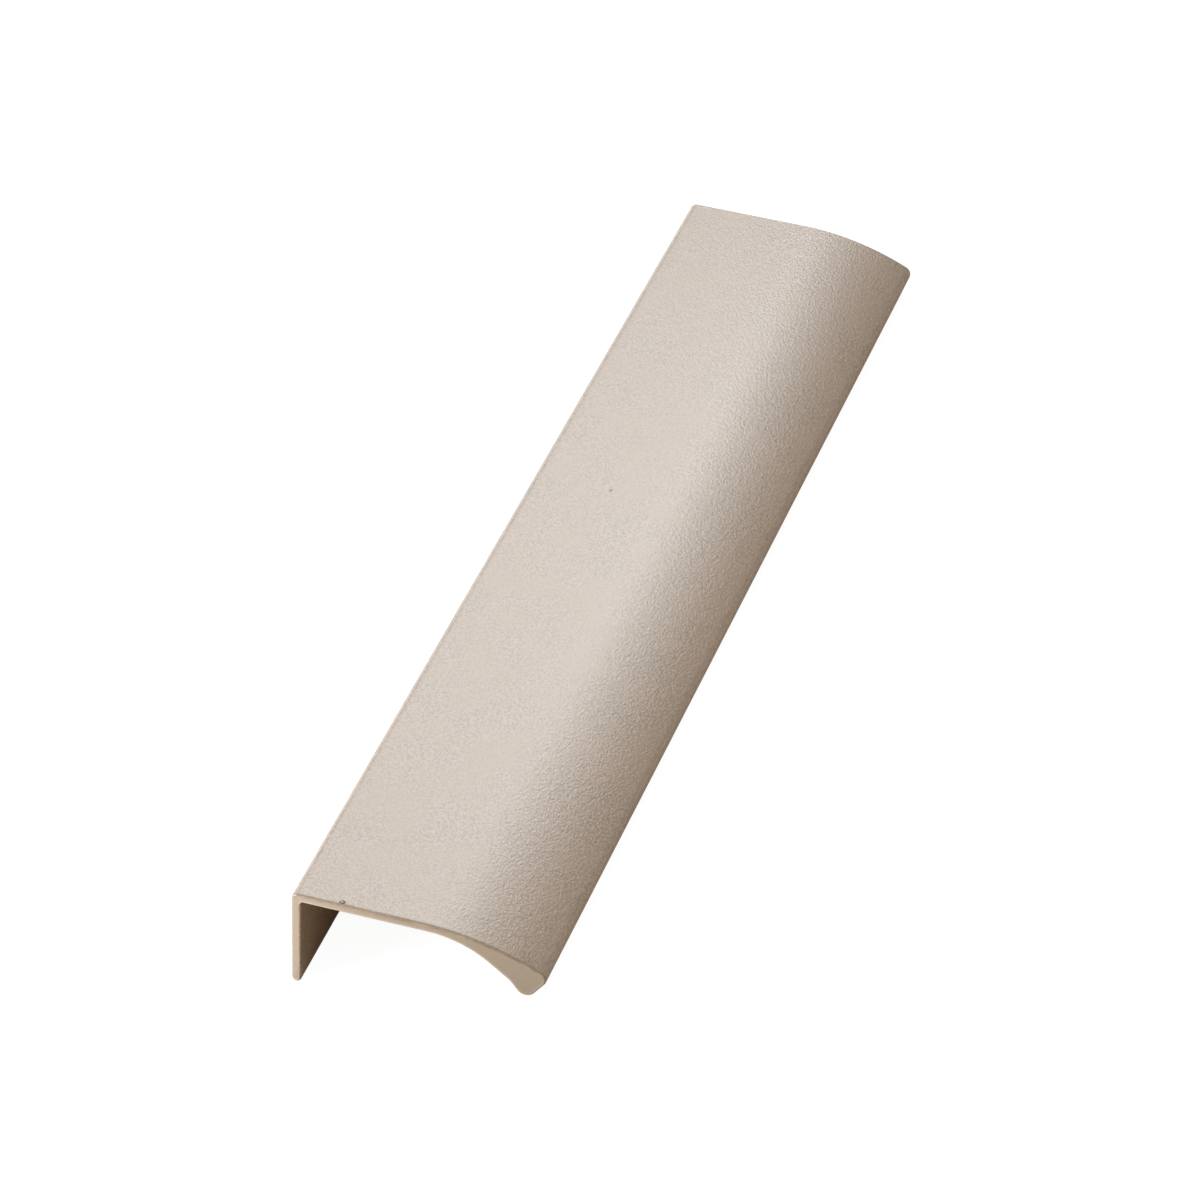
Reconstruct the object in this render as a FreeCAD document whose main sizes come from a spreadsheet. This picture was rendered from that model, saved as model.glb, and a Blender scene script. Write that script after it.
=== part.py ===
import FreeCAD, Part
import math
import os

import Sketcher
from FreeCAD import Placement, Rotation, Vector

# Handleless finger pull: one extruded profile, coated all over and cut square at both ends.
# The section is drawn as it is fitted: the flange stands behind a drawer front, the flat plate lies on its
# top edge and the lip hangs in front. X runs from the flange to the lip, Y along the length and Z up, in
# millimetres and degrees. The finished part is then laid down as it rests on a floor, on the foot of the
# flange and the nose of the lip.

NODE = "finger_pull_profile"

DIMENSIONS = (
    ("length", 200.0, "cut length of the profile"),
    ("depth", 40.0, "back of the flange to the front of the lip"),
    ("plate_wall", 1.5, "thickness of the flat plate"),
    ("flange_wall", 1.5, "thickness of the flange"),
    ("flange_height", 17.0, "top of the plate to the foot of the flange"),
    ("back_radius", 1.0, "rounding between the flange and the top"),
    ("root_radius", 0.4, "inner corner between the flange and the plate"),
    ("flat_depth", 20.2, "back of the flange to where the top starts to fall"),
    ("crown_radius", 44.0, "falling top of the lip"),
    ("front_radius", 1.5, "rounding at the front of the lip"),
    ("chin_angle", 53.0, "slope of the face under the front rounding"),
    ("chin_length", 2.7, "straight face between the front rounding and the nose"),
    ("nose_radius", 1.6, "rounding at the bottom of the lip"),
    ("grip_angle", 52.0, "slope of the face that the fingertips pull on"),
    ("grip_length", 1.8, "straight part of the grip face"),
    ("grip_blend", 1.0, "hollow between the grip face and the sloping underside"),
    ("slope_angle", 37.0, "slope of the underside where the lip is thickest"),
    ("groove_radius", 16.5, "bend of the underside between the plate and its slope"),
    ("end_break", 0.3, "rounding of the cut edges at both ends"),
    ("hole_inset", 20.0, "cut end to the nearest screw hole"),
    ("hole_drop", 9.25, "top of the plate to the screw holes"),
    ("hole_diameter", 4.0, "screw hole"),
    ("sink_diameter", 6.0, "countersink at the back of the flange"),
    ("sink_angle", 90.0, "countersink"),
)

START, END, CENTRE = range(1, 4)
HORIZONTAL_AXIS, VERTICAL_AXIS = range(-1, -3, -1)
ORIGIN = (HORIZONTAL_AXIS, START)


def make_sheet(document):
    """The driving dimensions, one named cell each."""
    sheet = document.addObject("Spreadsheet::Sheet", "Dimensions")
    for row, (alias, value, note) in enumerate(DIMENSIONS, start=1):
        sheet.set(f"A{row}", alias)
        sheet.set(f"B{row}", str(value))
        sheet.set(f"C{row}", note)
        sheet.setAlias(f"B{row}", alias)
    document.recompute()
    return sheet


def attach(sketch, body, role):
    """Lay a sketch on one of its body's own origin planes."""
    plane = next(item for item in body.Origin.OriginFeatures if item.Role == role)
    sketch.AttachmentSupport = [(plane, "")]
    sketch.MapMode = "FlatFace"


def bind(sketch, name, constraint, expression):
    """Add a dimension to a sketch and tie it to the sheet."""
    index = sketch.addConstraint(constraint)
    sketch.renameConstraint(index, name)
    sketch.setExpression(f"Constraints.{name}", expression)


def toward(degrees):
    """Unit vector in the sketch plane."""
    angle = math.radians(degrees)
    return Vector(math.cos(angle), math.sin(angle), 0)


def draw_line(sketch, start, end):
    return sketch.addGeometry(Part.LineSegment(start, end), False)


def draw_arc(sketch, centre, radius, start, end):
    """Arc running counter-clockwise between two directions, given in degrees."""
    circle = Part.Circle(centre, Vector(0, 0, 1), radius)
    return sketch.addGeometry(Part.ArcOfCircle(circle, math.radians(start), math.radians(end)), False)


def draw_section(sketch, size):
    """The closed outline, clockwise from the back of the flange. Returns its pieces by name."""
    back = Vector(size.back_radius, -size.back_radius, 0)
    crown = Vector(size.flat_depth, -size.crown_radius, 0)
    front_x = size.depth - size.front_radius
    front_drop = math.sqrt((size.crown_radius - size.front_radius) ** 2 - (front_x - crown.x) ** 2)
    front = Vector(front_x, crown.y + front_drop, 0)
    crown_end = math.degrees(math.atan2(front.y - crown.y, front.x - crown.x))

    chin_normal = toward(size.chin_angle - 90)
    chin_top = front + chin_normal * size.front_radius
    chin_foot = chin_top - toward(size.chin_angle) * size.chin_length
    nose = chin_foot - chin_normal * size.nose_radius

    grip_out = 270 - size.grip_angle
    grip_normal = toward(grip_out)
    grip_foot = nose + grip_normal * size.nose_radius
    grip_top = grip_foot + toward(180 - size.grip_angle) * size.grip_length
    hollow = grip_top + grip_normal * size.grip_blend

    slope_out = 270 - size.slope_angle
    slope_normal = toward(slope_out)
    slope_way = toward(180 - size.slope_angle)
    slope_foot = hollow - slope_normal * size.grip_blend
    groove_y = -size.plate_wall - size.groove_radius
    slope_top_y = groove_y - slope_normal.y * size.groove_radius
    slope_top = slope_foot + slope_way * ((slope_top_y - slope_foot.y) / slope_way.y)
    groove = slope_top + slope_normal * size.groove_radius

    under_y = -size.plate_wall
    face_x = size.flange_wall
    root = Vector(face_x + size.root_radius, under_y - size.root_radius, 0)
    foot_radius = size.flange_wall / 2
    foot = Vector(foot_radius, foot_radius - size.flange_height, 0)

    geo = {}
    geo["flange_back"] = draw_line(sketch, Vector(0, foot.y, 0), Vector(0, back.y, 0))
    geo["back_round"] = draw_arc(sketch, back, size.back_radius, 90, 180)
    geo["top"] = draw_line(sketch, Vector(back.x, 0, 0), Vector(crown.x, 0, 0))
    geo["crown"] = draw_arc(sketch, crown, size.crown_radius, crown_end, 90)
    geo["front_round"] = draw_arc(sketch, front, size.front_radius, size.chin_angle - 90, crown_end)
    geo["chin"] = draw_line(sketch, chin_foot, chin_top)
    geo["nose_round"] = draw_arc(sketch, nose, size.nose_radius, grip_out, 270 + size.chin_angle)
    geo["grip"] = draw_line(sketch, grip_foot, grip_top)
    geo["grip_hollow"] = draw_arc(sketch, hollow, size.grip_blend, grip_out - 180, slope_out - 180)
    geo["slope"] = draw_line(sketch, slope_foot, slope_top)
    geo["groove"] = draw_arc(sketch, groove, size.groove_radius, slope_out - 180, 90)
    geo["underside"] = draw_line(sketch, Vector(groove.x, under_y, 0), Vector(root.x, under_y, 0))
    geo["root_round"] = draw_arc(sketch, root, size.root_radius, 90, 180)
    geo["flange_face"] = draw_line(sketch, Vector(face_x, root.y, 0), Vector(face_x, foot.y, 0))
    geo["foot_round"] = draw_arc(sketch, foot, foot_radius, 180, 360)
    return geo


def join_section(sketch, geo):
    """Make each piece of the outline run smoothly into the next."""
    against = ("back_round", "crown", "front_round", "chin", "nose_round", "foot_round")
    names = list(geo)
    for name, following in zip(names, names[1:] + names[:1]):
        leave = START if name in against else END
        enter = END if following in against else START
        sketch.addConstraint(Sketcher.Constraint("Tangent", geo[name], leave, geo[following], enter))


def measure_section(sketch, geo, size):
    """Tie the outline to the sheet."""
    add = sketch.addConstraint
    add(Sketcher.Constraint("PointOnObject", geo["flange_back"], START, VERTICAL_AXIS))
    add(Sketcher.Constraint("PointOnObject", geo["top"], START, HORIZONTAL_AXIS))
    for name in ("flange_back", "flange_face"):
        add(Sketcher.Constraint("Vertical", geo[name]))
    for name in ("top", "underside"):
        add(Sketcher.Constraint("Horizontal", geo[name]))

    radii = {
        "back_round": "back_radius",
        "crown": "crown_radius",
        "front_round": "front_radius",
        "nose_round": "nose_radius",
        "grip_hollow": "grip_blend",
        "groove": "groove_radius",
        "root_round": "root_radius",
    }
    for name, alias in radii.items():
        radius = Sketcher.Constraint("Radius", geo[name], getattr(size, alias))
        bind(sketch, alias, radius, f"Dimensions.{alias}")

    def across(name, piece, point, value, expression):
        limit = Sketcher.Constraint("DistanceX", *ORIGIN, geo[piece], point, value)
        bind(sketch, name, limit, expression)

    def below(name, piece, point, value, expression):
        limit = Sketcher.Constraint("DistanceY", geo[piece], point, *ORIGIN, value)
        bind(sketch, name, limit, expression)

    across("flat_depth", "top", END, size.flat_depth, "Dimensions.flat_depth")
    across("front_centre", "front_round", CENTRE, size.depth - size.front_radius,
           "Dimensions.depth - Dimensions.front_radius")
    across("flange_wall", "flange_face", END, size.flange_wall, "Dimensions.flange_wall")
    below("plate_wall", "underside", END, size.plate_wall, "Dimensions.plate_wall")
    below("foot_centre", "foot_round", CENTRE, size.flange_height - size.flange_wall / 2,
          "Dimensions.flange_height - Dimensions.flange_wall / 2")

    for name, alias in (("chin", "chin_length"), ("grip", "grip_length")):
        run = Sketcher.Constraint("Distance", geo[name], getattr(size, alias))
        bind(sketch, alias, run, f"Dimensions.{alias}")

    def lean(name, piece, degrees, expression):
        bind(sketch, name, Sketcher.Constraint("Angle", geo[piece], math.radians(degrees)), expression)

    lean("chin_angle", "chin", size.chin_angle, "Dimensions.chin_angle * 1 deg")
    lean("grip_angle", "grip", 180 - size.grip_angle, "(180 - Dimensions.grip_angle) * 1 deg")
    lean("slope_angle", "slope", 180 - size.slope_angle, "(180 - Dimensions.slope_angle) * 1 deg")


def extrude_section(document, body, size):
    """Draw the section and run it out to both sides of the middle."""
    section = body.newObject("Sketcher::SketchObject", "Section")
    attach(section, body, "XZ_Plane")
    geo = draw_section(section, size)
    join_section(section, geo)
    measure_section(section, geo, size)
    document.recompute()

    profile = body.newObject("PartDesign::Pad", "Profile")
    profile.Profile = section
    profile.SideType = "Symmetric"
    profile.setExpression("Length", "Dimensions.length")
    document.recompute()
    return section, geo


def drill_holes(document, body, size):
    """Two countersunk screw holes through the flange, drilled from its back."""
    centres = body.newObject("Sketcher::SketchObject", "HoleCentres")
    attach(centres, body, "YZ_Plane")
    spacing = size.length - 2 * size.hole_inset
    circles = []
    for across in (-spacing / 2, spacing / 2):
        ring = Part.Circle(Vector(across, -size.hole_drop, 0), Vector(0, 0, 1), size.hole_diameter / 2)
        circles.append(centres.addGeometry(ring, False))
    left, right = circles
    centres.addConstraint(Sketcher.Constraint("Symmetric", left, CENTRE, right, CENTRE, VERTICAL_AXIS))
    centres.addConstraint(Sketcher.Constraint("Equal", left, right))
    bind(centres, "hole_diameter", Sketcher.Constraint("Diameter", left, size.hole_diameter),
         "Dimensions.hole_diameter")
    bind(centres, "hole_spacing", Sketcher.Constraint("DistanceX", left, CENTRE, right, CENTRE, spacing),
         "Dimensions.length - 2 * Dimensions.hole_inset")
    bind(centres, "hole_drop", Sketcher.Constraint("DistanceY", left, CENTRE, *ORIGIN, size.hole_drop),
         "Dimensions.hole_drop")
    document.recompute()

    holes = body.newObject("PartDesign::Hole", "ScrewHoles")
    holes.Profile = centres
    holes.Reversed = True
    holes.DepthType = "Dimension"
    holes.DrillPoint = "Flat"
    holes.HoleCutType = "Countersink"
    document.recompute()
    holes.setExpression("Diameter", "Dimensions.hole_diameter")
    holes.setExpression("Depth", "Dimensions.flange_wall")
    holes.setExpression("HoleCutDiameter", "Dimensions.sink_diameter")
    holes.setExpression("HoleCutCountersinkAngle", "Dimensions.sink_angle * 1 deg")
    document.recompute()
    return holes


def break_ends(document, body, base):
    """Round the cut edges at both ends."""
    ends = [f"Face{index}" for index, face in enumerate(base.Shape.Faces, start=1) if is_end(face)]
    breaks = body.newObject("PartDesign::Fillet", "EndBreaks")
    breaks.Base = (base, ends)
    breaks.setExpression("Radius", "Dimensions.end_break")
    document.recompute()


def is_end(face):
    """True for the two flat faces square to the length."""
    return isinstance(face.Surface, Part.Plane) and round(abs(face.Surface.Axis.y), 6) == 1


def lay_down(document, body, section, geo):
    """Tip the profile onto the foot of its flange and the nose of its lip, centred over the origin."""
    foot = section.Geometry[geo["foot_round"]]
    nose = section.Geometry[geo["nose_round"]]
    span = nose.Center - foot.Center
    reach = math.hypot(span.x, span.y)
    tilt = math.atan2(span.y, span.x) + math.asin((foot.Radius - nose.Radius) / reach)
    turn = Rotation(Vector(0, 1, 0), math.degrees(tilt))
    body.Placement = Placement(Vector(0, 0, 0), turn)
    document.recompute()
    box = body.Shape.optimalBoundingBox()
    body.Placement = Placement(Vector(-box.Center.x, -box.Center.y, -box.ZMin), turn)
    document.recompute()


def check(document, body):
    """Stop before anything is written if a feature failed or the solid isn't sound."""
    for item in document.Objects:
        if "Invalid" in item.State or "Error" in item.State:
            raise RuntimeError(f"{item.Name} failed: {item.State}")
    shape = body.Shape
    if shape.isNull() or not shape.isValid() or len(shape.Solids) != 1:
        raise RuntimeError(f"{body.Label} is not one sound solid")


def main():
    document = FreeCAD.newDocument("FingerPull")
    size = make_sheet(document)
    body = document.addObject("PartDesign::Body", "Extrusion")
    body.Label = NODE
    section, geo = extrude_section(document, body, size)
    holes = drill_holes(document, body, size)
    break_ends(document, body, holes)
    check(document, body)
    lay_down(document, body, section, geo)
    check(document, body)

    os.makedirs("parts", exist_ok=True)
    body.Shape.exportStep(f"parts/{body.Label}.step")
    box = body.Shape.optimalBoundingBox()
    print(f"{body.Label}: {box.XLength:.3f} x {box.YLength:.3f} x {box.ZLength:.3f} mm,",
          f"{body.Shape.Volume:.1f} mm3, tilt {math.degrees(body.Placement.Rotation.Angle):.3f} deg")


main()
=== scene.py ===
import math
from typing import NamedTuple

import bmesh
import bpy
from bpy.props import FloatProperty, FloatVectorProperty, PointerProperty
from mathutils import Euler, Matrix, Vector, noise


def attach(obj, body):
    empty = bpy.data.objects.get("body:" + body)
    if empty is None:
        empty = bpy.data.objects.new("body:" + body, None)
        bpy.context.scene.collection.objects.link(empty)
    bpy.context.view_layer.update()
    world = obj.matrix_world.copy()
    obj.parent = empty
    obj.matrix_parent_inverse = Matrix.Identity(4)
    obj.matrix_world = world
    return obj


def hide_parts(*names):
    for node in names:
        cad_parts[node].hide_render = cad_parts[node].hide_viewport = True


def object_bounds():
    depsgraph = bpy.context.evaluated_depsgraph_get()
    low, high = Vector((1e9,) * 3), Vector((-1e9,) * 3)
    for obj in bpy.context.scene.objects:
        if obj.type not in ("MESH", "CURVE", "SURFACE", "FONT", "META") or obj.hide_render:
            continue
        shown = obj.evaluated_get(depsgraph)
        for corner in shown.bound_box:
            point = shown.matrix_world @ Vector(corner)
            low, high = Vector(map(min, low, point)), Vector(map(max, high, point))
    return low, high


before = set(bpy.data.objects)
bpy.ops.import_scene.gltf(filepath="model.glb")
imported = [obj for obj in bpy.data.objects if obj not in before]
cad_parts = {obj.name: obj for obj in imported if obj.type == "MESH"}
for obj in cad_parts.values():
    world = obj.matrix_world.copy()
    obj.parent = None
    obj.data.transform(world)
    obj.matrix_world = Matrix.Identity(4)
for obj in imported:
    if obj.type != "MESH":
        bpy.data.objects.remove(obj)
CAD_LOW, CAD_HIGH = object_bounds()

bl_info = {
    "name": "Finger pull profile",
    "version": (1, 0, 0),
    "blender": (4, 2, 0),
    "location": "3D View > Sidebar > Finger pull",
    "description": "Builds a coated finger pull profile for a drawer front, and a plain stage for it",
    "category": "Object",
}

NODE = "finger_pull_profile"
MM = 0.001
WHITE = (1.0, 1.0, 1.0, 1.0)


def millimetres(name, value, description):
    return FloatProperty(name=name, description=description, default=value * MM, min=0.0, precision=5,
                         subtype="DISTANCE", unit="LENGTH")


def degrees(name, value, description):
    return FloatProperty(name=name, description=description, default=math.radians(value),
                         subtype="ANGLE", unit="ROTATION")


def factor(name, value, description):
    return FloatProperty(name=name, description=description, default=value, min=0.0, max=1.0,
                         subtype="FACTOR")


def watts(name, value, description):
    return FloatProperty(name=name, description=description, default=value, min=0.0, unit="POWER")


def colour(name, value, description):
    return FloatVectorProperty(name=name, description=description, default=value, size=3, min=0.0,
                               max=1.0, subtype="COLOR")


def position(name, value, description):
    return FloatVectorProperty(name=name, description=description, default=tuple(v * MM for v in value),
                               size=3, precision=6, subtype="TRANSLATION", unit="LENGTH")


class ProfileSizes(bpy.types.PropertyGroup):
    """Sizes of the extruded section, of its screw holes and of its cut edges."""

    length: FloatProperty(name="Length", description="Cut length of the profile",
                          default=CAD_HIGH.y - CAD_LOW.y, subtype="DISTANCE", unit="LENGTH")
    depth: millimetres("Depth", 40.0, "Back of the flange to the front of the lip")
    plate_wall: millimetres("Plate wall", 1.5, "Thickness of the flat plate")
    flange_wall: millimetres("Flange wall", 1.5, "Thickness of the flange")
    flange_height: millimetres("Flange height", 17.0, "Top of the plate to the foot of the flange")
    back_radius: millimetres("Back radius", 1.0, "Rounding between the flange and the top")
    root_radius: millimetres("Root radius", 0.4, "Inner corner between the flange and the plate")
    flat_depth: millimetres("Flat depth", 20.2, "Back of the flange to where the top starts to fall")
    crown_radius: millimetres("Crown radius", 44.0, "Falling top of the lip")
    front_radius: millimetres("Front radius", 1.5, "Rounding at the front of the lip")
    chin_angle: degrees("Chin angle", 53.0, "Slope of the face under the front rounding")
    chin_length: millimetres("Chin length", 2.7, "Straight face between the front rounding and the nose")
    nose_radius: millimetres("Nose radius", 1.6, "Rounding at the bottom of the lip")
    grip_angle: degrees("Grip angle", 52.0, "Slope of the face that the fingertips pull on")
    grip_length: millimetres("Grip length", 1.8, "Straight part of the grip face")
    grip_blend: millimetres("Grip blend", 1.0, "Hollow between the grip face and the sloping underside")
    slope_angle: degrees("Slope angle", 37.0, "Slope of the underside where the lip is thickest")
    groove_radius: millimetres("Groove radius", 16.5, "Bend of the underside between the plate and its slope")
    end_break: millimetres("End break", 0.3, "Rounding of the cut edges at both ends")
    hole_inset: millimetres("Hole inset", 20.0, "Cut end to the nearest screw hole")
    hole_drop: millimetres("Hole drop", 9.25, "Top of the plate to the screw holes")
    hole_diameter: millimetres("Hole diameter", 4.0, "Screw hole")
    sink_diameter: millimetres("Sink diameter", 6.0, "Countersink at the back of the flange")
    sink_angle: degrees("Sink angle", 90.0, "Countersink")


class CoatFinish(bpy.types.PropertyGroup):
    """Look of the powder coat, with its painted edge shade, painted edge highlight and shaded hollows."""

    coat: colour("Coat", (0.508, 0.391, 0.289), "Colour of the powder coat")
    # Darker than the coat between the grains: painted shade in the grain's hollows.
    shaded_hollows: colour("Hollows", (0.372, 0.287, 0.211), "Colour of the coat between its grains")
    warm: colour("Warm patches", (0.475, 0.352, 0.257), "Colour of the slow patches in the coat")
    cut_coat: colour("Cut ends", (0.445, 0.367, 0.283), "Colour of the coat on the cut ends")
    # Painted shade: a darker colour along the upper cut edges, where the rounded edge turns from the lit top
    # to the cut end.
    painted_edge_shade: colour("Painted edge shade", (0.33, 0.242, 0.168),
                 "Colour where the coat runs thin over the upper cut edges")
    # Painted highlight: a paler colour along the lower cut edges, where the edge catches light from below.
    painted_edge_highlight: colour("Painted edge highlight", (0.57, 0.475, 0.38), "Colour where the coat gathers on the lower cut edges")
    speck: colour("Speck", (0.055, 0.045, 0.036), "Colour of the dirt speck on the top")
    roughness: factor("Roughness", 0.37, "Roughness of the coat")
    gloss: factor("Gloss", 1.0, "Strength of the coat's reflection")
    grain: millimetres("Grain", 0.33, "Width of one grain of the coat")
    grain_stretch: FloatProperty(name="Grain stretch", description="Length of one grain in widths",
                                 default=1.6, min=1.0)
    grain_depth: millimetres("Grain depth", 0.062, "Height of the grains")
    cut_smooth: factor("Smooth cut ends", 0.6, "How much of the grain the cut ends lack")
    patch: millimetres("Patches", 9.0, "Width of the slow patches")
    ripple: millimetres("Ripple", 2.6, "Width of the slow waves in the coat")
    ripple_depth: millimetres("Ripple depth", 0.012, "Height of the slow waves in the coat")
    speck_place: position("Speck place", (-4.423, 13.58, 14.071), "Where the dirt speck sits")
    speck_reach: millimetres("Speck reach", 0.36, "Middle of the dirt speck to its faint edge")
    nick_place: position("Nick place", (-9.573, -99.404, 15.163), "Where the nicked edge is raised")
    nick_reach: millimetres("Nick reach", 0.5, "Middle of the raised nick to its edge")
    nick_height: millimetres("Nick height", 0.4, "Height of the raised nick")


class StageSetup(bpy.types.PropertyGroup):
    """Floor, lamps and camera."""

    floor: colour("Floor", (0.72, 0.62, 0.50), "Colour of the floor that lights the profile from below")
    floor_size: FloatProperty(name="Floor size", description="Side of the floor", default=6.0,
                              subtype="DISTANCE", unit="LENGTH")
    back_light: watts("Back light", 6.5, "Large soft light high behind the profile")
    sheen_light: watts("Sheen light", 0.66, "Narrow soft light behind the profile, which the top reflects")
    front_light: watts("Front light", 0.34, "Soft light over the lip")
    side_light: watts("Side light", 0.05, "Soft light beside the near end")
    end_light: watts("End light", 0.375, "Low light on the near cut end")
    rim_light: watts("Rim light", 4.5, "Low soft light on the back edge and the back of the flange")
    room_light: FloatProperty(name="Room light", description="Strength of the even light from all round",
                              default=0.1, min=0.0)
    camera_place: FloatVectorProperty(name="Camera place", description="Where the camera stands",
                                      default=(0.331491, -0.731454, 0.515628), size=3,
                                      subtype="TRANSLATION", unit="LENGTH")
    camera_turn: FloatVectorProperty(name="Camera turn", description="Which way the camera looks",
                                     default=tuple(math.radians(a) for a in (56.8918, 9.8389, 18.2877)),
                                     size=3, subtype="EULER", unit="ROTATION")
    lens: FloatProperty(name="Lens", description="Focal length on a 36 mm sensor", default=176.9,
                        unit="CAMERA")


def ray(angle):
    return Vector((math.cos(angle), math.sin(angle)))


def straight(start, end, parts):
    """Points along a straight run, without its last one, each with the outward normal."""
    way = end - start
    normal = Vector((-way.y, way.x)).normalized()
    return [(start + way * (step / parts), normal) for step in range(parts)]


def bend(centre, radius, start, end, parts):
    """Points along an arc, without its last one. A clockwise arc bulges out, the other way hollows in."""
    side = 1.0 if end < start else -1.0
    points = []
    for step in range(parts):
        out = ray(start + (end - start) * step / parts)
        points.append((centre + out * radius, out * side))
    return points


def edge_side(normal):
    """1 on the upper side of the section, -1 on its underside and 0 on its upright faces."""
    return max(-1.0, min(1.0, 2.0 * normal.y))


def on_cut_end(normal):
    return abs(normal.y) > 0.5


class Section:
    """Outline of the extrusion as it is fitted, clockwise from the foot of the flange, and how it lies."""

    HOLE_CELLS = 16
    HOLE_MARGIN = 4.0 * MM
    FLANGE_CELLS = 4
    SHOULDER_CELLS = 6
    BACK_CELLS = 8
    FLAT_CELLS = 36
    CROWN_CELLS = 40
    FRONT_CELLS = 12
    CHIN_CELLS = 4
    NOSE_CELLS = 12
    GRIP_CELLS = 3
    BLEND_CELLS = 3
    SLOPE_CELLS = 5
    GROOVE_CELLS = 14
    PLATE_CELLS = 14
    ROOT_CELLS = 5
    FOOT_CELLS = 10

    def __init__(self, size):
        right = math.pi / 2
        back = Vector((size.back_radius, -size.back_radius))
        crown = Vector((size.flat_depth, -size.crown_radius))
        front_x = size.depth - size.front_radius
        fall = math.sqrt((size.crown_radius - size.front_radius) ** 2 - (front_x - crown.x) ** 2)
        front = Vector((front_x, crown.y + fall))
        crown_end = math.atan2(front.y - crown.y, front.x - crown.x)

        chin_out = size.chin_angle - right
        chin_top = front + ray(chin_out) * size.front_radius
        chin_foot = chin_top - ray(size.chin_angle) * size.chin_length
        nose = chin_foot - ray(chin_out) * size.nose_radius

        grip_out = -right - size.grip_angle
        grip_foot = nose + ray(grip_out) * size.nose_radius
        grip_top = grip_foot + ray(math.pi - size.grip_angle) * size.grip_length
        hollow = grip_top + ray(grip_out) * size.grip_blend

        slope_out = -right - size.slope_angle
        slope_way = ray(math.pi - size.slope_angle)
        slope_foot = hollow - ray(slope_out) * size.grip_blend
        groove_y = -size.plate_wall - size.groove_radius
        slope_top_y = groove_y - ray(slope_out).y * size.groove_radius
        slope_top = slope_foot + slope_way * ((slope_top_y - slope_foot.y) / slope_way.y)
        groove = slope_top + ray(slope_out) * size.groove_radius

        under = -size.plate_wall
        face = size.flange_wall
        root = Vector((face + size.root_radius, under - size.root_radius))
        foot_radius = size.flange_wall / 2
        foot = Vector((foot_radius, foot_radius - size.flange_height))
        low = -size.hole_drop - self.HOLE_MARGIN
        high = -size.hole_drop + self.HOLE_MARGIN

        self.points = []
        self.add(straight(Vector((0, foot.y)), Vector((0, low)), self.FLANGE_CELLS))
        self.back_patch = len(self.points)
        self.add(straight(Vector((0, low)), Vector((0, high)), self.HOLE_CELLS))
        self.add(straight(Vector((0, high)), Vector((0, back.y)), self.SHOULDER_CELLS))
        self.add(bend(back, size.back_radius, math.pi, right, self.BACK_CELLS))
        self.add(straight(Vector((back.x, 0)), Vector((crown.x, 0)), self.FLAT_CELLS))
        self.add(bend(crown, size.crown_radius, right, crown_end, self.CROWN_CELLS))
        self.add(bend(front, size.front_radius, crown_end, chin_out, self.FRONT_CELLS))
        self.add(straight(chin_top, chin_foot, self.CHIN_CELLS))
        self.add(bend(nose, size.nose_radius, chin_out, grip_out, self.NOSE_CELLS))
        self.add(straight(grip_foot, grip_top, self.GRIP_CELLS))
        self.add(bend(hollow, size.grip_blend, grip_out + math.pi, slope_out + math.pi, self.BLEND_CELLS))
        self.add(straight(slope_foot, slope_top, self.SLOPE_CELLS))
        self.add(bend(groove, size.groove_radius, slope_out + math.pi, right, self.GROOVE_CELLS))
        self.add(straight(Vector((groove.x, under)), Vector((root.x, under)), self.PLATE_CELLS))
        self.add(bend(root, size.root_radius, right, math.pi, self.ROOT_CELLS))
        self.add(straight(Vector((face, root.y)), Vector((face, high)), self.FLANGE_CELLS))
        self.face_patch = len(self.points)
        self.add(straight(Vector((face, high)), Vector((face, low)), self.HOLE_CELLS))
        self.add(straight(Vector((face, low)), Vector((face, foot.y)), self.FLANGE_CELLS))
        self.add(bend(foot, foot_radius, 0.0, -math.pi, self.FOOT_CELLS))

        span = nose - foot
        rise = math.asin((foot_radius - size.nose_radius) / span.length)
        self.lean = math.atan2(span.y, span.x) + rise

    def add(self, run):
        self.points.extend(run)

    def laid_down(self):
        """Turn and shift that lay the section on the foot of its flange and the nose of its lip."""
        turn = Matrix.Rotation(self.lean, 4, "Y")
        laid = [turn @ Vector((point.x, 0, point.y)) for point, normal in self.points]
        middle = (min(p.x for p in laid) + max(p.x for p in laid)) / 2
        floor = min(p.z for p in laid)
        return Matrix.Translation((-middle, 0, -floor)) @ turn


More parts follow.
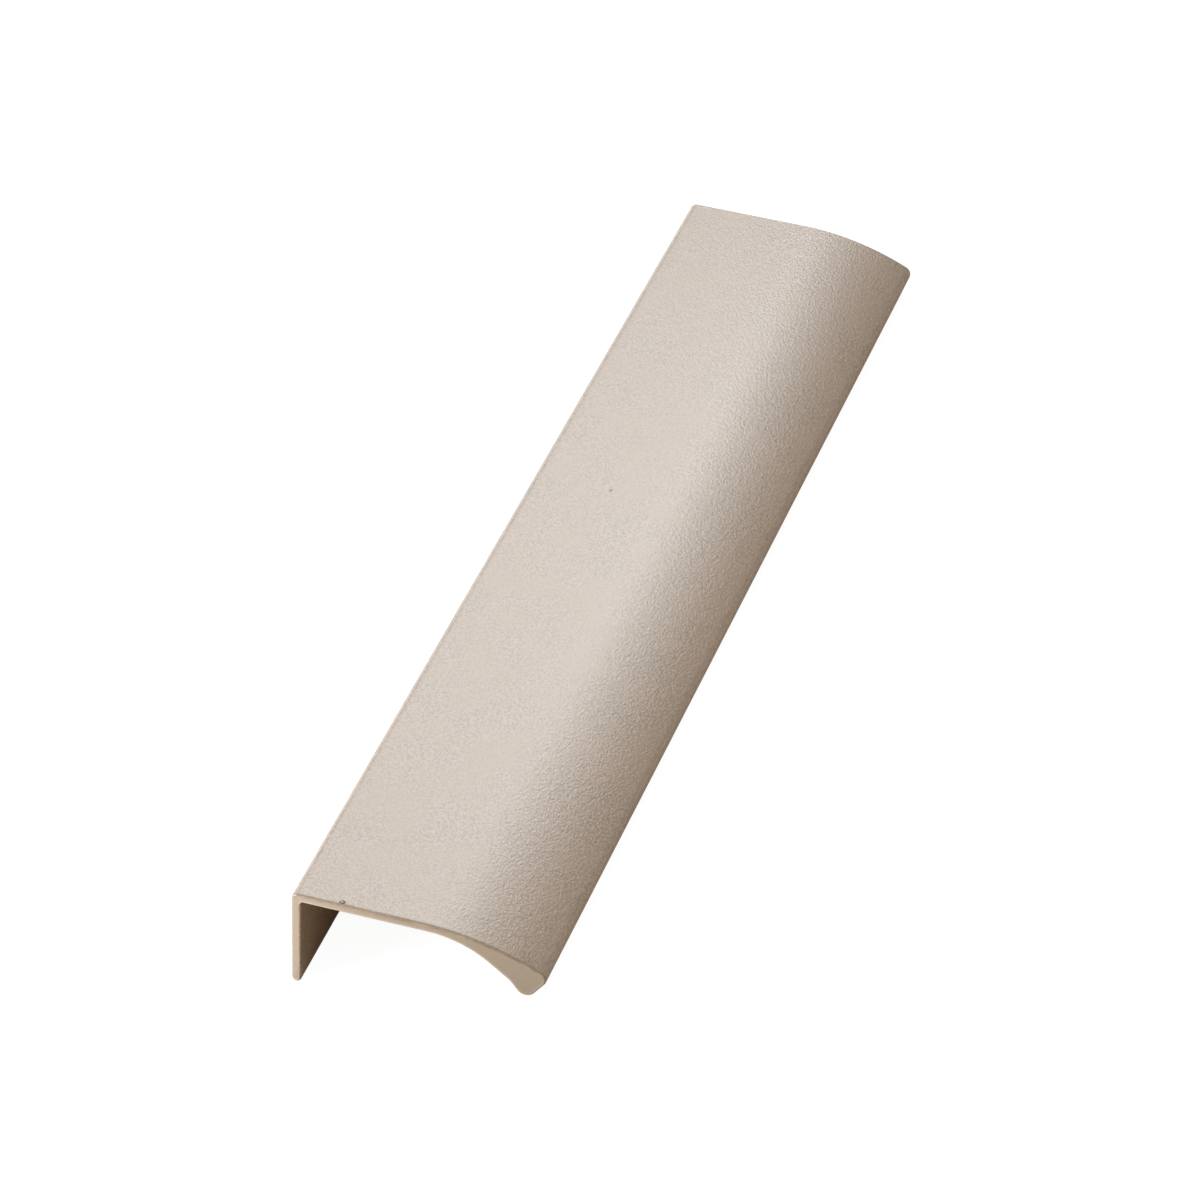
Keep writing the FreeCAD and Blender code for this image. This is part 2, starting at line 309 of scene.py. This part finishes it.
class ProfileMesh:
    """Skin of the profile, made of rings of the section from one cut end to the other."""

    ROUND_STEPS = 5
    SUPPORT = 0.05 * MM
    SOFT = 0.3 * MM
    ROW = 0.5 * MM
    PATCH_RINGS = 4
    FADE_START_MM = 6.0
    FADE_WIDTH_MM = 3.0
    FINE_WAVE = 2.1
    FINE_SHIFT = Vector((7.0, 3.0, 5.0))
    FINE_SHARE = 0.5
    WAVE_MIDDLE = 0.5
    WAVE_SHARE = 0.4

    def __init__(self, section, size):
        self.section = section
        self.size = size
        self.spots = []
        self.normals = []
        self.edge = []
        self.faces = []
        self.rims = []
        self.known = {}
        self.lay_rows()
        self.skin()
        for hole in (-1, 1):
            self.cut_hole(hole * (size.length / 2 - size.hole_inset))
        for end in (0, len(self.rows) - 1):
            self.close_end(end)

    def lay_rows(self):
        """Places along the length, each with how far the section shrinks there for the broken edge."""
        half = self.size.length / 2
        radius = self.size.end_break
        hole = half - self.size.hole_inset
        margin = self.section.HOLE_MARGIN
        edge = half - radius
        near = []
        for step in range(self.ROUND_STEPS):
            angle = math.pi / 2 * (1 - step / self.ROUND_STEPS)
            near.append((-edge - radius * math.sin(angle), radius - radius * math.cos(angle)))
        stops = [-edge, -edge + self.SUPPORT, -hole - margin, -hole + margin, hole - margin, hole + margin,
                 edge - self.SUPPORT, edge]
        middle = []
        for start, end in zip(stops, stops[1:]):
            parts = max(1, round((end - start) / self.ROW))
            middle.extend((start + (end - start) * step / parts, 0.0) for step in range(parts))
        middle.append((edge, 0.0))
        far = [(-y, inset) for y, inset in reversed(near)]
        self.rows = near + middle + far

    def add(self, spot, normal, edge=0.0):
        self.spots.append(spot)
        self.normals.append(normal)
        self.edge.append(edge)
        return len(self.spots) - 1

    def at(self, column, row):
        """Corner of the skin on one point of the section and one place along the length."""
        column %= len(self.section.points)
        if (column, row) not in self.known:
            point, normal = self.section.points[column]
            y, inset = self.rows[row]
            spot = point - normal * inset
            edge = edge_side(normal) * inset / self.size.end_break if inset else 0.0
            out = Vector((normal.x, 0, normal.y))
            self.known[column, row] = self.add(Vector((spot.x, y, spot.y)), out, edge)
        return self.known[column, row]

    def hole_row(self, y):
        """Row where the square round a hole starts."""
        start = y - self.section.HOLE_MARGIN
        return min(range(len(self.rows)), key=lambda row: abs(self.rows[row][0] - start))

    def skin(self):
        """Faces all along the section, open where the holes go."""
        cells = self.section.HOLE_CELLS
        hole = self.size.length / 2 - self.size.hole_inset
        open_columns = set(range(self.section.back_patch, self.section.back_patch + cells))
        open_columns |= set(range(self.section.face_patch, self.section.face_patch + cells))
        open_rows = set()
        for y in (-hole, hole):
            start = self.hole_row(y)
            open_rows |= set(range(start, start + cells))
        for column in range(len(self.section.points)):
            for row in range(len(self.rows) - 1):
                if column in open_columns and row in open_rows:
                    continue
                self.faces.append((self.at(column, row), self.at(column + 1, row),
                                   self.at(column + 1, row + 1), self.at(column, row + 1)))

    def square(self):
        """Steps up and along, once round the square that a hole is cut in."""
        cells = self.section.HOLE_CELLS
        run = range(cells)
        return ([(0, k) for k in run] + [(k, cells) for k in run]
                + [(cells, cells - k) for k in run] + [(cells - k, 0) for k in run])

    def ring(self, ways, x, radius, centre, normal):
        """Round ring of a hole, one corner for each direction."""
        spots = []
        for way in ways:
            spot = Vector((x, centre.y + way.y * radius, centre.z + way.z * radius))
            spots.append(self.add(spot, normal))
        return spots

    def bridge(self, first, second):
        """Faces between two rings with as many corners."""
        count = len(first)
        for step in range(count):
            following = (step + 1) % count
            self.faces.append((first[step], first[following], second[following], second[step]))

    def cut_hole(self, y):
        """Countersunk hole through the flange."""
        size = self.size
        cells = self.section.HOLE_CELLS
        start = self.hole_row(y)
        centre = Vector((0, y, -size.hole_drop))
        steps = self.square()
        outer_back = [self.at(self.section.back_patch + up, start + along) for up, along in steps]
        outer_face = [self.at(self.section.face_patch + cells - up, start + along) for up, along in steps]
        ways = []
        for spot in outer_back:
            way = self.spots[spot] - centre
            ways.append(Vector((0, way.y, way.z)).normalized())

        sink = size.sink_diameter / 2
        bore = size.hole_diameter / 2
        sink_depth = (sink - bore) / math.tan(size.sink_angle / 2)
        back, out = Vector((-1, 0, 0)), Vector((1, 0, 0))
        back_rim = self.collar(outer_back, ways, 0.0, sink, centre, back)
        sink_foot = self.ring(ways, sink_depth, bore, centre, back)
        face_rim = self.collar(outer_face, ways, size.flange_wall, bore, centre, out)
        self.bridge(back_rim, sink_foot)
        self.bridge(sink_foot, face_rim)
        self.rims.extend((back_rim, sink_foot, face_rim))

    def collar(self, outer, ways, x, radius, centre, normal):
        """Flat rings from the square down to the rim of a hole. Returns the rim."""
        last = outer
        for step in range(1, self.PATCH_RINGS + 1):
            share = step / self.PATCH_RINGS
            spots = []
            for corner, way in zip(outer, ways):
                rim = Vector((x, centre.y + way.y * radius, centre.z + way.z * radius))
                spots.append(self.add(self.spots[corner].lerp(rim, share), normal))
            self.bridge(last, spots)
            last = spots
        return last

    def close_end(self, row):
        """Flat cut end, with a narrow border that keeps the broken edge's shading off it."""
        y, inset = self.rows[row]
        out = Vector((0, math.copysign(1.0, y), 0))
        outer = [self.at(column, row) for column in range(len(self.section.points))]
        for border, strength in ((self.SUPPORT, 1.0), (self.SOFT, 0.0)):
            inner = []
            for point, normal in self.section.points:
                spot = point - normal * (inset + border)
                inner.append(self.add(Vector((spot.x, y, spot.y)), out, edge_side(normal) * strength))
            self.bridge(outer, inner)
            outer = inner
        self.faces.append(tuple(outer))

    def ripple(self, finish):
        """Slow waves of the coat, pressed into the skin and faded out round the holes and on the cut ends."""
        size = self.size
        hole = size.length / 2 - size.hole_inset
        for index, (spot, normal) in enumerate(zip(self.spots, self.normals)):
            if on_cut_end(normal):
                continue
            away = min(math.hypot(spot.z + size.hole_drop, abs(spot.y) - hole), size.hole_inset)
            at_flange = spot.x <= size.flange_wall and spot.z < -size.back_radius
            rise = (away / MM - self.FADE_START_MM) / self.FADE_WIDTH_MM
            fade = min(1.0, max(0.0, rise)) if at_flange else 1.0
            place = spot / finish.ripple
            fine = noise.noise(place * self.FINE_WAVE + self.FINE_SHIFT)
            wave = noise.noise(place) + self.FINE_SHARE * fine
            depth = finish.ripple_depth * min(1.0, max(0.0, self.WAVE_MIDDLE + self.WAVE_SHARE * wave))
            self.spots[index] = spot - normal * (depth * fade)

    def make(self, name, laid_down):
        """Mesh of the skin as it lies, with what the coat needs to know of its edges and ends."""
        mesh = bpy.data.meshes.new(name)
        mesh.from_pydata([laid_down @ spot for spot in self.spots], [], self.faces)
        # Mask for the painted shade on the upper cut edges and the painted highlight on the lower ones.
        edge_light_mask = mesh.attributes.new("edge_side", "FLOAT", "POINT")
        edge_light_mask.data.foreach_set("value", self.edge)
        cut_coat = mesh.attributes.new("cut_end", "FLOAT", "POINT")
        cut_coat.data.foreach_set("value", [float(on_cut_end(normal)) for normal in self.normals])
        mesh.polygons.foreach_set("use_smooth", [True] * len(mesh.polygons))
        rim_of = {corner: number for number, rim in enumerate(self.rims) for corner in rim}
        for edge in mesh.edges:
            first, second = (rim_of.get(corner) for corner in edge.vertices)
            edge.use_edge_sharp = first is not None and first == second
        smooth_skin = bmesh.new()
        smooth_skin.from_mesh(mesh)
        bmesh.ops.recalc_face_normals(smooth_skin, faces=smooth_skin.faces)
        smooth_skin.to_mesh(mesh)
        smooth_skin.free()
        mesh.update()
        return mesh


def node(tree, kind, x, y, **inputs):
    """Adds a node with its settings and its unlinked inputs."""
    made = tree.nodes.new(kind)
    made.location = (x, y)
    for key, value in inputs.items():
        if hasattr(made, key):
            setattr(made, key, value)
        else:
            made.inputs[key.replace("_", " ")].default_value = value
    return made


def opaque(value):
    return (*value, 1.0)


def worked_out(tree, operation, first, second, x, y, use_clamp=False):
    """Result of one sum on a link and another link or a number."""
    calculation = node(tree, "ShaderNodeMath", x, y, operation=operation, use_clamp=use_clamp)
    tree.links.new(first, calculation.inputs[0])
    if isinstance(second, float):
        calculation.inputs[1].default_value = second
    else:
        tree.links.new(second, calculation.inputs[1])
    return calculation.outputs["Value"]


def multiplied(tree, first, second, x, y):
    """Product of a link and another link or a number, kept between 0 and 1."""
    return worked_out(tree, "MULTIPLY", first, second, x, y, use_clamp=True)


def ranged(tree, value, low, high, most, x, y):
    """A value spread from its low and high ends to between 0 and the most."""
    spread = node(tree, "ShaderNodeMapRange", x, y, From_Min=low, From_Max=high, To_Max=most)
    tree.links.new(value, spread.inputs["Value"])
    return spread.outputs["Result"]


def clouds(tree, place, scale, detail, roughness, x, y):
    """Cloudy noise that runs through the coat."""
    cloud = node(tree, "ShaderNodeTexNoise", x, y, Scale=scale, Detail=detail, Roughness=roughness)
    tree.links.new(place, cloud.inputs["Vector"])
    return cloud.outputs["Fac"]


def painted(tree, under, over, share, x, y):
    """A colour laid over the one under it by its share."""
    mix = node(tree, "ShaderNodeMix", x, y, data_type="RGBA", B=opaque(over))
    tree.links.new(share, mix.inputs["Factor"])
    tree.links.new(under, mix.inputs["A"])
    return mix.outputs["Result"]


class PowderCoat:
    """Fine-grained powder coat with slow warm patches, painted edge shade and highlight, and its two small
    blemishes.
    """

    GRAIN_DETAIL = 1.0
    GRAIN_ROUGHNESS = 0.5
    PEBBLE_SCALE = 0.75
    PEBBLE_SMOOTHNESS = 0.6
    PEBBLE_SHARE = 0.4
    TONE_RANGE = (0.38, 0.62)
    PATCH_DETAIL = 2.0
    PATCH_ROUGHNESS = 0.6
    PATCH_RANGE = (0.40, 0.65)
    PATCH_SHARE = 0.6
    # Scale and range of the noise that breaks up the painted edge shade.
    EDGE_SHADE_SCALE = 0.2
    EDGE_SHADE_RANGE = (0.35, 0.60)
    CUT_SHARE = 0.8
    SPECK_SHARE = 0.85
    BLEMISH_CORE = 0.3

    def __init__(self, finish):
        self.finish = finish
        self.material = bpy.data.materials.new("fine_grained_powder_coat")
        self.material.use_nodes = True
        self.tree = self.material.node_tree
        self.tree.nodes.clear()
        self.link = self.tree.links.new
        output = node(self.tree, "ShaderNodeOutputMaterial", 1300, 0)
        shader = node(self.tree, "ShaderNodeBsdfPrincipled", 1000, 0, Roughness=finish.roughness,
                      Specular_IOR_Level=finish.gloss)
        self.link(shader.outputs["BSDF"], output.inputs["Surface"])
        self.place = node(self.tree, "ShaderNodeTexCoord", -1500, 0).outputs["Object"]
        self.edge = self.attribute("edge_side", -500)
        self.cut = self.attribute("cut_end", -700)
        self.lay_grain()
        self.link(self.relief(), shader.inputs["Normal"])
        self.link(self.tint(), shader.inputs["Base Color"])

    def attribute(self, name, y):
        return node(self.tree, "ShaderNodeAttribute", -900, y, attribute_name=name).outputs["Fac"]

    def lay_grain(self):
        """Grain of the coat, longer along the profile, and its height with the pebbles in it."""
        finish = self.finish
        stretch = node(self.tree, "ShaderNodeMapping", -1200, 300,
                       Scale=(1.0, 1.0 / finish.grain_stretch, 1.0))
        self.link(self.place, stretch.inputs["Vector"])
        self.stretched = stretch.outputs["Vector"]
        self.grains = clouds(self.tree, self.stretched, 1.0 / finish.grain, self.GRAIN_DETAIL,
                             self.GRAIN_ROUGHNESS, -900, 400)
        pebbles = node(self.tree, "ShaderNodeTexVoronoi", -900, 100, feature="SMOOTH_F1",
                       Scale=self.PEBBLE_SCALE / finish.grain, Smoothness=self.PEBBLE_SMOOTHNESS)
        self.link(self.stretched, pebbles.inputs["Vector"])
        height = node(self.tree, "ShaderNodeMix", -600, 100, data_type="FLOAT", Factor=self.PEBBLE_SHARE)
        self.link(self.grains, height.inputs["A"])
        self.link(pebbles.outputs["Distance"], height.inputs["B"])
        self.height = height.outputs["Result"]

    def blemish(self, place, centre, reach, y):
        """1 round one spot of the coat, fading to 0 at its reach."""
        away = node(self.tree, "ShaderNodeVectorMath", -900, y, operation="DISTANCE")
        away.inputs[1].default_value = centre
        self.link(place, away.inputs[0])
        mask = node(self.tree, "ShaderNodeMapRange", -700, y, interpolation_type="SMOOTHSTEP",
                    From_Min=reach, From_Max=self.BLEMISH_CORE * reach)
        self.link(away.outputs["Value"], mask.inputs["Value"])
        return mask.outputs["Result"]

    def relief(self):
        """Normal of the coat: its grain, weaker on the cut ends, and the raised nick."""
        finish = self.finish
        nick = self.blemish(self.place, finish.nick_place, finish.nick_reach, -900)
        raised = node(self.tree, "ShaderNodeMath", -300, -700, operation="MULTIPLY_ADD")
        raised.inputs[1].default_value = finish.nick_height / finish.grain_depth
        self.link(nick, raised.inputs[0])
        self.link(self.height, raised.inputs[2])
        strength = node(self.tree, "ShaderNodeMath", -300, -900, operation="MULTIPLY_ADD")
        strength.inputs[1].default_value = -finish.cut_smooth
        strength.inputs[2].default_value = 1.0
        self.link(self.cut, strength.inputs[0])
        bump = node(self.tree, "ShaderNodeBump", 600, -500, Distance=finish.grain_depth)
        self.link(strength.outputs["Value"], bump.inputs["Strength"])
        self.link(raised.outputs["Value"], bump.inputs["Height"])
        return bump.outputs["Normal"]

    def tint(self):
        """Colour of the coat, from its grain and patches through the painted edge shade and highlight up to
        the speck of dirt.
        """
        finish = self.finish
        tree = self.tree
        # Darker between the grains: painted shade in the grain's hollows, on the same noise that raises the
        # bump.
        tone = node(tree, "ShaderNodeValToRGB", -600, 400)
        paints = (finish.shaded_hollows, finish.coat)
        for element, stop, paint in zip(tone.color_ramp.elements, self.TONE_RANGE, paints):
            element.position = stop
            element.color = opaque(paint)
        self.link(self.grains, tone.inputs["Fac"])
        patches = clouds(tree, self.place, 1.0 / finish.patch, self.PATCH_DETAIL,
                         self.PATCH_ROUGHNESS, -900, 700)
        slow = ranged(tree, patches, *self.PATCH_RANGE, self.PATCH_SHARE, -600, 700)
        # Painted shade along the upper cut edges, broken up by noise.
        edge_shade_breakup = clouds(tree, self.place, self.EDGE_SHADE_SCALE / finish.grain, self.GRAIN_DETAIL,
                      self.GRAIN_ROUGHNESS, -900, -200)
        edge_shade_mask = multiplied(tree, self.edge, ranged(tree, edge_shade_breakup, *self.EDGE_SHADE_RANGE, 1.0, -600, -200), -300, -200)
        # Painted highlight along the lower cut edges.
        edge_highlight_mask = multiplied(tree, self.edge, -1.0, -300, -400)
        cut = multiplied(tree, self.cut, self.CUT_SHARE, -300, 200)
        speck_x, speck_y, speck_z = finish.speck_place
        speck_centre = (speck_x, speck_y / finish.grain_stretch, speck_z)
        speck = self.blemish(self.stretched, speck_centre, finish.speck_reach, -1200)
        speck = multiplied(tree, speck, self.SPECK_SHARE, -300, -1200)
        paint = painted(tree, tone.outputs["Color"], finish.warm, slow, -200, 400)
        paint = painted(tree, paint, finish.cut_coat, cut, 0, 350)
        # Painted shade on the upper cut edges, then a painted highlight on the lower ones.
        paint = painted(tree, paint, finish.painted_edge_shade, edge_shade_mask, 200, 300)
        paint = painted(tree, paint, finish.painted_edge_highlight, edge_highlight_mask, 400, 200)
        return painted(tree, paint, finish.speck, speck, 700, 100)


class FINGERPULL_OT_profile(bpy.types.Operator):
    """Build the coated profile in place of its plain solid"""

    bl_idname = "fingerpull.profile"
    bl_label = "Build profile"

    def execute(self, context):
        size = context.scene.finger_pull_sizes
        finish = context.scene.finger_pull_finish
        section = Section(size)
        skin = ProfileMesh(section, size)
        skin.ripple(finish)
        mesh = skin.make("coated_profile", section.laid_down())
        mesh.materials.append(PowderCoat(finish).material)
        profile = bpy.data.objects.new("coated_profile", mesh)
        context.scene.collection.objects.link(profile)
        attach(profile, "root")
        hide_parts(NODE)
        return {"FINISHED"}


FLOOR_SHADE = (0.2, 0.2, 0.2, 1.0)
FLOOR_GLOW = 0.95
CHANNEL_REACH = 0.035


def floor_material(setup):
    """Pale floor that shows as white, with a faint shadow of the profile."""
    material = bpy.data.materials.new("white_floor")
    material.use_nodes = True
    tree = material.node_tree
    tree.nodes.clear()
    link = tree.links.new
    output = node(tree, "ShaderNodeOutputMaterial", 600, 0)
    matt = node(tree, "ShaderNodeBsdfDiffuse", 0, -300, Color=opaque(setup.floor))
    shade = node(tree, "ShaderNodeBsdfDiffuse", -300, -150, Color=FLOOR_SHADE)
    glow = node(tree, "ShaderNodeEmission", -300, 0, Color=WHITE, Strength=FLOOR_GLOW)
    white = node(tree, "ShaderNodeAddShader", 0, -50)
    link(glow.outputs["Emission"], white.inputs[0])
    link(shade.outputs["BSDF"], white.inputs[1])

    # The coat mirrors the white floor, but in the channel under the plate it mirrors the shaded one.
    path = node(tree, "ShaderNodeLightPath", -900, 300).outputs
    place = node(tree, "ShaderNodeNewGeometry", -1200, 600)
    across = node(tree, "ShaderNodeSeparateXYZ", -900, 600)
    link(place.outputs["Position"], across.inputs["Vector"])
    far = worked_out(tree, "GREATER_THAN", path["Ray Length"], CHANNEL_REACH, -600, 100)
    behind = worked_out(tree, "LESS_THAN", across.outputs["X"], CAD_LOW.x, -600, 600)
    clear = worked_out(tree, "MAXIMUM", far, behind, -450, 400)
    mirrored = worked_out(tree, "MULTIPLY", path["Is Glossy Ray"], clear, -300, 200)
    through = worked_out(tree, "MAXIMUM", path["Is Camera Ray"], path["Is Transmission Ray"], -300, 400)
    seen = worked_out(tree, "MAXIMUM", through, mirrored, 0, 300)
    mix = node(tree, "ShaderNodeMixShader", 300, 0)
    link(seen, mix.inputs["Fac"])
    link(matt.outputs["BSDF"], mix.inputs[1])
    link(white.outputs["Shader"], mix.inputs[2])
    link(mix.outputs["Shader"], output.inputs["Surface"])
    return material


def white_room(setup):
    """Even light from all round, which shows as white in the picture."""
    world = bpy.data.worlds.new("white_room")
    world.use_nodes = True
    tree = world.node_tree
    tree.nodes.clear()
    link = tree.links.new
    output = node(tree, "ShaderNodeOutputWorld", 600, 0)
    room = node(tree, "ShaderNodeBackground", 0, 0, Color=WHITE, Strength=setup.room_light)
    white = node(tree, "ShaderNodeBackground", 0, -150, Color=WHITE, Strength=1.0)
    path = node(tree, "ShaderNodeLightPath", -300, 300).outputs
    seen = worked_out(tree, "MAXIMUM", path["Is Camera Ray"], path["Is Transmission Ray"], 0, 300)
    mix = node(tree, "ShaderNodeMixShader", 300, 0)
    link(seen, mix.inputs["Fac"])
    link(room.outputs["Background"], mix.inputs[1])
    link(white.outputs["Background"], mix.inputs[2])
    link(mix.outputs["Shader"], output.inputs["Surface"])
    return world


class Lamp(NamedTuple):
    """Where a rectangular lamp hangs, what it faces and how large it is, in metres."""

    place: tuple
    aim: tuple
    width: float
    height: float


LAMPS = {
    "back_light": Lamp((-0.165, 0.935, 0.97), (0.0, 0.0, 0.01), 0.60, 0.58),
    "sheen_light": Lamp((0.096, 0.5, 0.42), (0.0, -0.2, 0.01), 0.30, 0.10),
    "front_light": Lamp((0.06, -0.1, 0.3), (0.0, 0.0, 0.01), 0.25, 0.25),
    "side_light": Lamp((0.2, -0.25, 0.2), (0.0, -0.06, 0.01), 0.20, 0.20),
    "end_light": Lamp((-0.15, -0.2, 0.03), (0.0, -0.08, 0.01), 0.05, 0.05),
    "rim_light": Lamp((-0.9, 1.1, 0.42), (0.0, 0.0, 0.01), 0.60, 0.50),
}


def soft_light(name, lamp, power):
    """Rectangular lamp that lights the profile and stays out of the picture itself."""
    area = bpy.data.lights.new(name, "AREA")
    area.shape = "RECTANGLE"
    area.size = lamp.width
    area.size_y = lamp.height
    area.energy = power
    light = bpy.data.objects.new(name, area)
    light.visible_camera = False
    light.location = lamp.place
    light.rotation_euler = (Vector(lamp.aim) - Vector(lamp.place)).to_track_quat("-Z", "Y").to_euler()
    bpy.context.scene.collection.objects.link(light)


SENSOR_WIDTH = 36.0
NEAREST_SEEN = 0.01
FARTHEST_SEEN = 20.0


def photo_camera(setup):
    lens = bpy.data.cameras.new("camera")
    lens.sensor_width = SENSOR_WIDTH
    lens.lens = setup.lens
    lens.clip_start = NEAREST_SEEN
    lens.clip_end = FARTHEST_SEEN
    camera = bpy.data.objects.new("camera", lens)
    camera.location = setup.camera_place
    camera.rotation_euler = Euler(setup.camera_turn, "XYZ")
    return camera


class FINGERPULL_OT_stage(bpy.types.Operator):
    """Build the floor, the lamps and the camera"""

    bl_idname = "fingerpull.stage"
    bl_label = "Build stage"

    def execute(self, context):
        scene = context.scene
        setup = scene.finger_pull_stage
        half = setup.floor_size / 2
        mesh = bpy.data.meshes.new("floor")
        mesh.from_pydata([(-half, -half, 0), (half, -half, 0), (half, half, 0), (-half, half, 0)], [],
                         [(0, 1, 2, 3)])
        mesh.materials.append(floor_material(setup))
        floor = bpy.data.objects.new("floor", mesh)
        scene.collection.objects.link(floor)

        for name, lamp in LAMPS.items():
            soft_light(name, lamp, getattr(setup, name))
        scene.world = white_room(setup)
        scene.view_settings.view_transform = "Standard"

        camera = photo_camera(setup)
        scene.collection.objects.link(camera)
        scene.camera = camera
        return {"FINISHED"}


class FINGERPULL_PT_sidebar(bpy.types.Panel):
    """Sizes, finish and stage of the finger pull"""

    bl_idname = "FINGERPULL_PT_sidebar"
    bl_label = "Finger pull"
    bl_space_type = "VIEW_3D"
    bl_region_type = "UI"
    bl_category = "Finger pull"

    def draw(self, context):
        scene = context.scene
        for group, action in ((scene.finger_pull_sizes, None),
                              (scene.finger_pull_finish, FINGERPULL_OT_profile.bl_idname),
                              (scene.finger_pull_stage, FINGERPULL_OT_stage.bl_idname)):
            box = self.layout.box()
            for key in group.__annotations__:
                box.prop(group, key)
            if action:
                box.operator(action)


CLASSES = (
    ProfileSizes,
    CoatFinish,
    StageSetup,
    FINGERPULL_OT_profile,
    FINGERPULL_OT_stage,
    FINGERPULL_PT_sidebar,
)


def register():
    for made in CLASSES:
        bpy.utils.register_class(made)
    bpy.types.Scene.finger_pull_sizes = PointerProperty(type=ProfileSizes)
    bpy.types.Scene.finger_pull_finish = PointerProperty(type=CoatFinish)
    bpy.types.Scene.finger_pull_stage = PointerProperty(type=StageSetup)


def unregister():
    del bpy.types.Scene.finger_pull_stage
    del bpy.types.Scene.finger_pull_finish
    del bpy.types.Scene.finger_pull_sizes
    for made in reversed(CLASSES):
        bpy.utils.unregister_class(made)


def main():
    register()
    bpy.ops.fingerpull.profile()
    bpy.ops.fingerpull.stage()


if __name__ == "__main__":
    main()
